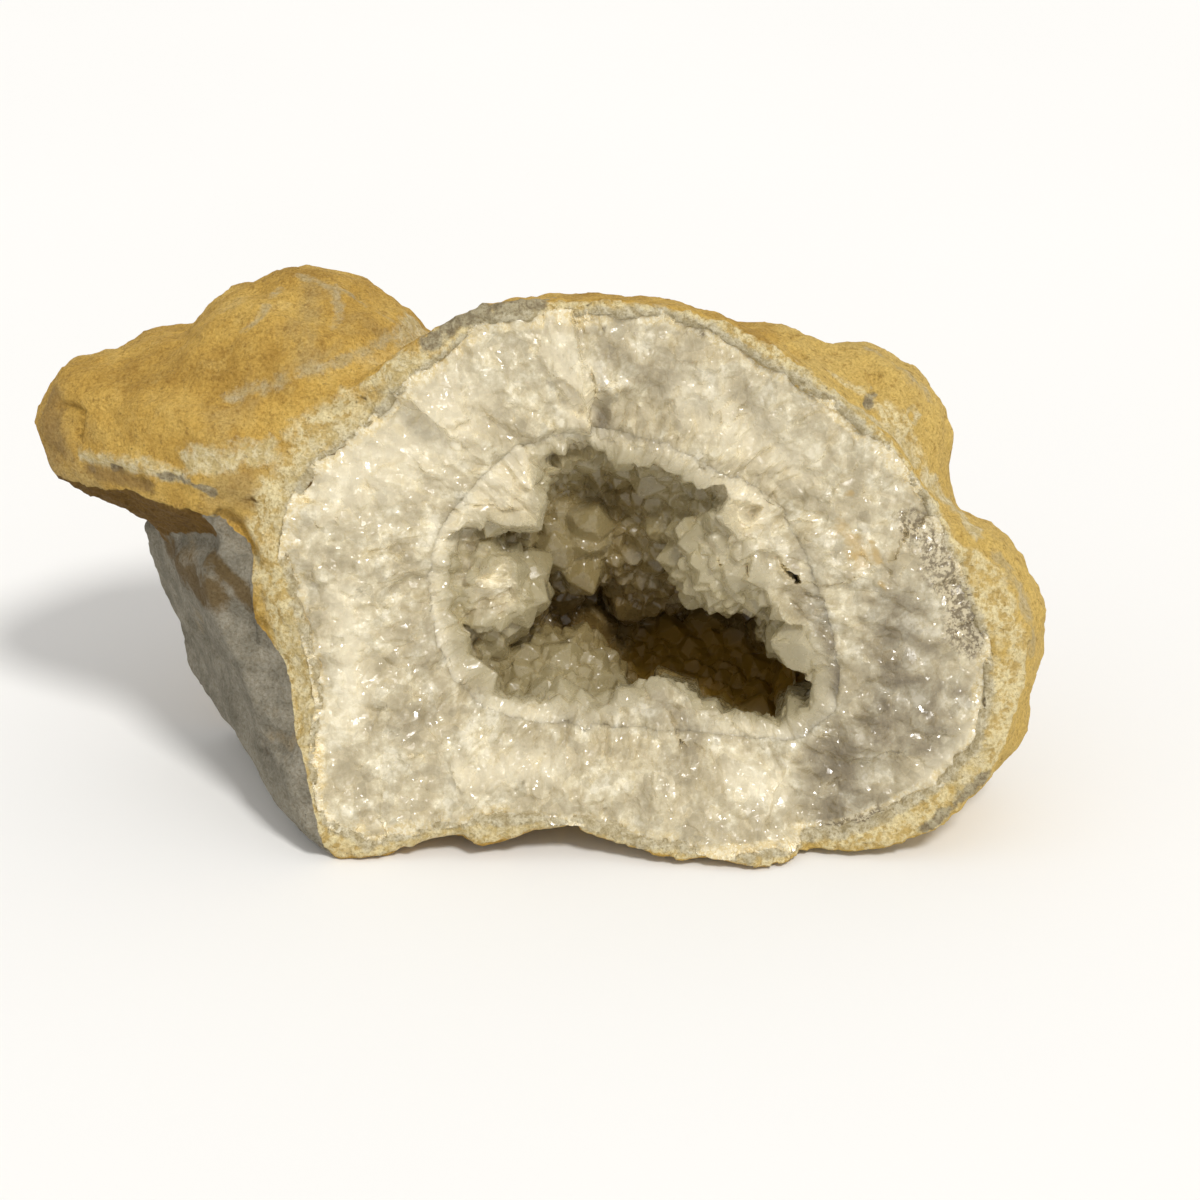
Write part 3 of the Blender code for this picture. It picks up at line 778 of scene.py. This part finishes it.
def make_wall(rock_tree, wall_tree, crust_tree):
    wall = remeshed(copy_of("quartz_wall", "quartz_wall_stone"), WALL_CELL)
    points = places(wall)
    depth = behind_face(points)
    facing = normals(wall) @ FACE_NORMAL
    hidden = (facing < 0.35) & ((distances(rock_tree, points) < 1.0) | (distances(crust_tree, points) < 1.0))
    hidden |= depth > 9.0
    hidden &= depth > 0.8
    decimate_hidden(wall, hidden)
    points = places(wall)
    tree = tree_of(wall)
    outward = neighbour_mean(wall, normals(wall), 3)
    outward /= np.linalg.norm(outward, axis=1, keepdims=True)
    facing = outward @ FACE_NORMAL
    depth = behind_face(points)
    near_rock = distances(rock_tree, points)
    near_crust = distances(crust_tree, points)
    lip = lip_depth(wall_tree, points, np.where(near_crust < 6.0, 0.0, np.inf))
    seam = meeting(points, near_crust, lip)
    lip = np.where(np.isfinite(lip), lip, depth)
    points = points - from_middle(points) * (1.1 * seam)[:, None]
    shown = smoothstep(facing, 0.2, 0.5) * (1.0 - smoothstep(depth, 7.0, 9.0))
    heights, sideways_places = ledge_line(tree)
    past = points[:, 0] - np.interp(points[:, 2], heights, sideways_places)
    cliff = np.where(past < 0.0, 1.9 * np.exp(past / 8.0), -1.5 * np.exp(-past / 6.0))
    cliff *= smoothstep(points[:, 2], heights[0] - 5.0, heights[0] + 2.0)
    relief = broken_relief(points, near_hollow(near_crust)) + cliff
    height = relief * shown + 0.35 * (1.0 - shown)
    sideways = outward - facing[:, None] * FACE_NORMAL
    sideways /= np.maximum(np.linalg.norm(sideways, axis=1, keepdims=True), 0.3)
    rim = (1.0 - smoothstep(near_rock, 0.3, 2.5)) * (1.0 - smoothstep(depth, 8.0, 12.0))
    sunk = 0.7 * (1.0 - smoothstep(near_crust, 0.3, 1.7))
    joined = points + FACE_NORMAL * (depth - lip + relief - sunk)[:, None]
    points = points + outward * height[:, None] + sideways * (1.3 * rim * (1.0 - seam))[:, None]
    points = points + (joined - points) * seam[:, None]
    points[:, 2] = np.maximum(points[:, 2], 0.2)
    move_to(wall, points)
    attribute(wall, "edge", 1.0 - smoothstep(near_rock, 0.3, 4.0))
    attribute(wall, "spot", any_along(tree, points, SPOT_STROKES))
    attribute(wall, "stain", any_along(tree, points, STAIN_STROKES))
    attribute(wall, "dim", painted_shade_mask(tree, points))
    attribute(wall, "speckle", any_along(tree, points, SPECKLE_STROKES))
    attribute(wall, "bright", any_along(tree, points, BRIGHT_STROKES))
    finish_piece(wall, wall_material(), "quartz_wall", False)
    return wall


def ledge_line(tree):
    """The heights and the sideways places of the ledge that runs down from the top of the face."""
    spots = sorted((seen_at(tree, pixel) for pixel in LEDGE), key=lambda spot: spot[2])
    return [spot[2] for spot in spots], [spot[0] for spot in spots]


def quartz_tone(s):
    """The colour of broken quartz, the same on the wall and on the hollow's edge."""
    clouds = s.noise(8.0, 5.0, 0.6, 0.4)
    lumps = s.noise(2.6, 5.0, 0.68)
    level = s.math("ADD", s.math("MULTIPLY", clouds, 0.55), s.math("MULTIPLY", lumps, 0.45))
    tone = s.ramp(level, (
        (0.38, colour(168, 156, 126)), (0.48, colour(187, 175, 145)),
        (0.54, colour(202, 192, 163)), (0.60, colour(226, 218, 194))))
    sugar = s.step(s.cells(2.2, output="Color"), 0.25, 0.75, 0.88, 1.04)
    tone = s.mix(1.0, tone, sugar, "MULTIPLY")
    # Painted shade: the tone darkened towards grey where the painted-shade strokes lie
    dim = s.math("MULTIPLY", s.read("dim"), s.step(clouds, 0.3, 0.6, 1.0, 0.6))
    tone = s.mix(dim, tone, s.mix(1.0, tone, (0.36, 0.34, 0.33), "MULTIPLY"))
    return s.mix(s.math("MULTIPLY", s.read("bright"), 0.55), tone, colour(232, 222, 194))


def quartz_normal(s):
    """Facets of broken quartz, with clusters of small ones that catch the light."""
    normal = s.bump(s.noise(1.6, 3.0, 0.6), 0.15, 0.5)
    normal = s.flakes(2.2, 0.35, normal)
    glints = s.step(s.noise(4.0, 3.0, 0.6), 0.56, 0.64)
    return s.flakes(0.7, s.math("MULTIPLY", glints, 0.9), normal)


def quartz_roughness(s):
    return s.step(s.noise(1.6, 2.0), 0.35, 0.65, 0.1, 0.36)


def wall_material():
    s = Shader("massive_quartz")
    tone = quartz_tone(s)
    specks = s.step(s.noise(0.9, 5.0, 0.75), 0.46, 0.56)
    chalky = s.mix(specks, colour(214, 194, 144), colour(234, 224, 194))
    tone = s.mix(s.math("MULTIPLY", s.ragged("edge", 4.0, 1.1, 1.8), 0.8), tone, chalky)
    patchy = s.mix(specks, colour(122, 110, 86), colour(196, 184, 154))
    tone = s.mix(s.ragged("speckle", 3.0, 0.9, 1.4), tone, patchy)
    tone = s.mix(s.math("MULTIPLY", s.ragged("stain", 3.0, 0.9, 1.2), 0.8), tone, colour(178, 152, 98))
    tone = s.mix(s.ragged("spot", 1.2, 0.6, 0.9), tone, colour(176, 144, 56))
    return s.surface(Base_Color=tone, Roughness=quartz_roughness(s), Normal=quartz_normal(s),
                     IOR=1.54, Subsurface_Weight=0.65, Subsurface_Radius=(1.0, 0.9, 0.7),
                     Subsurface_Scale=2.8 * MM)


# The crystals that line the hollow

LIP_CRYSTALS = (
    ((662, 690), 3.4, 4.6, 10.0),
    ((684, 708), 3.6, 3.8, -4.0),
    ((640, 702), 2.8, 3.2, 14.0),
    ((712, 722), 3.2, 3.2, -8.0),
    ((738, 724), 3.0, 3.0, 6.0),
    ((765, 732), 2.8, 2.8, 10.0),
    ((792, 734), 2.8, 3.0, -8.0),
    ((610, 698), 2.8, 3.0, 5.0),
    ((585, 696), 2.8, 2.6, -6.0),
    ((520, 668), 3.4, 3.4, -12.0),
    ((545, 688), 3.0, 3.2, 8.0),
    ((490, 696), 3.0, 2.8, -6.0),
    ((788, 571), 4.5, 3.0, 0.0),
    ((715, 535), 4.6, 3.4, 0.0),
    ((685, 545), 4.2, 3.2, -10.0),
    ((740, 560), 3.8, 3.0, 6.0),
    ((700, 580), 3.6, 3.0, 0.0),
    ((540, 640), 4.2, 3.4, -6.0),
    ((570, 650), 3.8, 3.2, 6.0),
    ((565, 505), 4.4, 2.6, 0.0),
    ((595, 490), 4.0, 2.6, 0.0),
    ((620, 570), 4.2, 2.6, 0.0),
)
# The deep pocket under the right boss: its dark brown is partly the crystals' brown stain and partly painted shade
POCKET_STROKES = (
    (14.0, ((670, 655), (710, 662), (760, 688), (800, 705))),
)


def crystal_radius(rng):
    draw = rng.random()
    if draw < 0.4:
        return rng.uniform(1.4, 2.0)
    if draw < 0.78:
        return rng.uniform(2.2, 3.2)
    return rng.uniform(3.4, 4.8)


def make_crystals(wall_tree):
    crust = remeshed(copy_of("crystal_crust", "quartz_crystals"), LINING_CELL)
    modified(crust, "SMOOTH", factor=1.0, iterations=12)
    remeshed(crust, CRYSTAL_CELL)
    points = places(crust)
    facing = normals(crust) @ FACE_NORMAL
    depth = behind_face(points)
    hidden = (distances(wall_tree, points) < 1.3) & (facing < 0.5) & (depth > 1.5)
    decimate_hidden(crust, hidden)
    modified(crust, "SMOOTH", factor=0.7, iterations=6)
    points = places(crust)
    tree = tree_of(crust)
    outward = neighbour_mean(crust, normals(crust), 6)
    outward /= np.linalg.norm(outward, axis=1, keepdims=True)
    steady = neighbour_mean(crust, outward, 10)
    steady /= np.linalg.norm(steady, axis=1, keepdims=True)
    depth = behind_face(points)
    facing = outward @ FACE_NORMAL
    near_wall = distances(wall_tree, points)
    backed = 1.0 - smoothstep(near_wall, 1.0, 1.6)
    lip = lip_depth(wall_tree, points, near_wall)
    behind_lip = np.where(np.isfinite(lip), depth - lip, 99.0)
    flat_ring = smoothstep(facing, 0.75, 0.9) * (1.0 - smoothstep(behind_lip, 1.5, 3.5))
    seam = meeting(points, near_wall, lip)
    flat_ring = np.maximum(flat_ring, seam)
    lip = np.where(np.isfinite(lip), lip, depth)
    rng = np.random.default_rng(SEED)
    able = np.flatnonzero(backed < 0.6)
    chosen, radii = spread(points[able], crystal_radius, rng, 0.62, 9000)
    feet = points[able[chosen]]
    axes = wandered(steady[able[chosen]], 0.2, rng)
    heights = radii * rng.uniform(0.85, 1.35, len(radii))
    big_feet, big_axes, big_radii, big_heights = [], [], [], []
    for pixel, radius, tall, lean in LIP_CRYSTALS:
        foot = seen_at(tree, pixel)
        near = int(np.argmin(np.linalg.norm(points - foot, axis=1)))
        big_feet.append(foot)
        turn = math.radians(lean)
        axis = steady[near] + RIGHT * math.sin(turn)
        big_axes.append(axis / np.linalg.norm(axis))
        big_radii.append(radius)
        big_heights.append(tall)
    druse = Crystals(feet, axes, radii, heights, math.radians(45.0), 6, rng)
    blocks = Crystals(np.array(big_feet), np.array(big_axes), np.array(big_radii),
                      np.array(big_heights), math.radians(44.0), 6, rng)
    height = np.clip(druse.reach(points, outward, 10), -0.3, 6.0) - 0.6
    spread_points = points + from_middle(points) * (2.0 * seam)[:, None]
    broken = broken_relief(spread_points, np.ones(len(points)))
    height = height * (1.0 - flat_ring) + broken * flat_ring
    height = np.maximum(height, np.minimum(blocks.reach(points, outward, 4), 6.0) - 0.6)
    height = height * (1.0 - backed * (1.0 - flat_ring)) + 0.5 * backed * (1.0 - flat_ring)
    sunk = 0.7 * (1.0 - smoothstep(near_wall, 0.3, 1.7))
    joined = spread_points + FACE_NORMAL * (depth - lip + broken - sunk)[:, None]
    points = points + outward * height[:, None]
    points = points + (joined - points) * seam[:, None]
    move_to(crust, points)
    # How deep each point lies, for a colour that darkens deeper in the hollow, partly as painted shade
    attribute(crust, "depth", np.clip(depth / 40.0, 0.0, 1.0))
    attribute(crust, "broken", flat_ring)
    attribute(crust, "dim", painted_shade_mask(tree, points))
    attribute(crust, "bright", any_along(tree, points, BRIGHT_STROKES))
    attribute(crust, "pocket", any_along(tree, points, POCKET_STROKES) * smoothstep(depth, 5.0, 12.0))
    finish_piece(crust, crystal_material(), "crystal_crust", False)
    return crust


def crystal_material():
    s = Shader("crystal_quartz")
    clouds = s.noise(6.0, 4.0, 0.6, 0.3)
    depth = s.math("ADD", s.read("depth"), s.math("MULTIPLY_ADD", clouds, 0.16, -0.08))
    # Darker and browner deeper in the hollow: partly the crystals' own brown tint, partly painted shade in the
    # hollow's depths
    tone = s.ramp(depth, (
        (0.06, colour(192, 181, 150)), (0.20, colour(180, 168, 132)),
        (0.45, colour(158, 143, 102)), (0.62, colour(142, 123, 78)), (0.9, colour(128, 104, 56))))
    tone = s.mix(s.math("MULTIPLY", s.step(clouds, 0.5, 0.7), 0.25), tone, colour(206, 198, 170))
    # Dark brown of the deep pocket, partly brown stain and partly painted shade
    pocket = s.step(s.math("ADD", s.read("pocket"), s.math("MULTIPLY_ADD", clouds, 0.5, -0.25)), 0.1, 0.6)
    tone = s.mix(s.math("MULTIPLY", pocket, 0.93), tone, colour(136, 102, 14))
    tone = s.mix(s.read("broken"), tone, quartz_tone(s))
    smooth = s.bump(s.noise(1.8, 3.0, 0.6), 0.06, 0.5)
    normal = s.add("ShaderNodeMix", {"Factor": s.read("broken"), 4: smooth, 5: quartz_normal(s)},
                   data_type="VECTOR").outputs[1]
    rough = s.math("MAXIMUM", quartz_roughness(s), s.math("MULTIPLY", pocket, 0.6))
    clear = s.math("MULTIPLY", s.math("SUBTRACT", 1.0, s.math("MAXIMUM", s.read("broken"), pocket)), 0.22)
    return s.surface(Base_Color=tone, Roughness=rough, Normal=normal,
                     IOR=1.54, Transmission_Weight=clear, Subsurface_Weight=0.65,
                     Subsurface_Radius=(1.0, 0.9, 0.7), Subsurface_Scale=2.8 * MM)


# The stage

def make_stage():
    work = bmesh.new()
    bmesh.ops.create_grid(work, x_segments=8, y_segments=8, size=4.0)
    mesh = bpy.data.meshes.new("floor")
    work.to_mesh(mesh)
    work.free()
    floor = new_object("floor", mesh)
    s = Shader("floor")
    tone = s.mix(s.noise(300.0, 2.0), (0.86, 0.86, 0.85), (0.90, 0.90, 0.89))
    floor.data.materials.append(s.surface(Base_Color=tone, Roughness=0.9))


def add_sun(name, place, strength, angle, tint):
    data = bpy.data.lights.new(name, "SUN")
    data.energy = strength
    data.angle = math.radians(angle)
    data.color = tint
    light = bpy.data.objects.new(name, data)
    light.rotation_euler = (-Vector(place)).to_track_quat("-Z", "Y").to_euler()
    bpy.context.scene.collection.objects.link(light)


def make_light():
    world = bpy.data.worlds.new("studio")
    bpy.context.scene.world = world
    world.use_nodes = True
    background = world.node_tree.nodes["Background"]
    background.inputs["Color"].default_value = (1.0, 0.985, 0.965, 1.0)
    background.inputs["Strength"].default_value = 0.68
    add_sun("key", (0.35, -0.7, 0.95), 1.9, 11.0, (1.0, 0.98, 0.95))
    bpy.context.scene.view_settings.view_transform = "Standard"


def make_camera():
    camera = bpy.data.objects.new("camera", bpy.data.cameras.new("camera"))
    camera.location = Vector(CAMERA_PLACE * MM)
    camera.rotation_mode = "QUATERNION"
    camera.rotation_quaternion = Vector(-BACK).to_track_quat("-Z", "Y")
    camera.data.sensor_width = SENSOR_WIDTH
    camera.data.lens = SENSOR_WIDTH * CAMERA_DISTANCE / (IMAGE_SIZE * MM_PER_PIXEL)
    camera.data.clip_start = 0.01
    camera.data.clip_end = 50.0
    bpy.context.scene.collection.objects.link(camera)
    bpy.context.scene.camera = camera


def build():
    rock_tree = tree_of(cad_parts["host_rock"])
    wall_tree = tree_of(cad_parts["quartz_wall"])
    crust_tree = tree_of(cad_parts["crystal_crust"])
    make_camera()
    make_light()
    make_stage()
    make_rock(wall_tree)
    make_wall(rock_tree, wall_tree, crust_tree)
    make_crystals(wall_tree)


build()
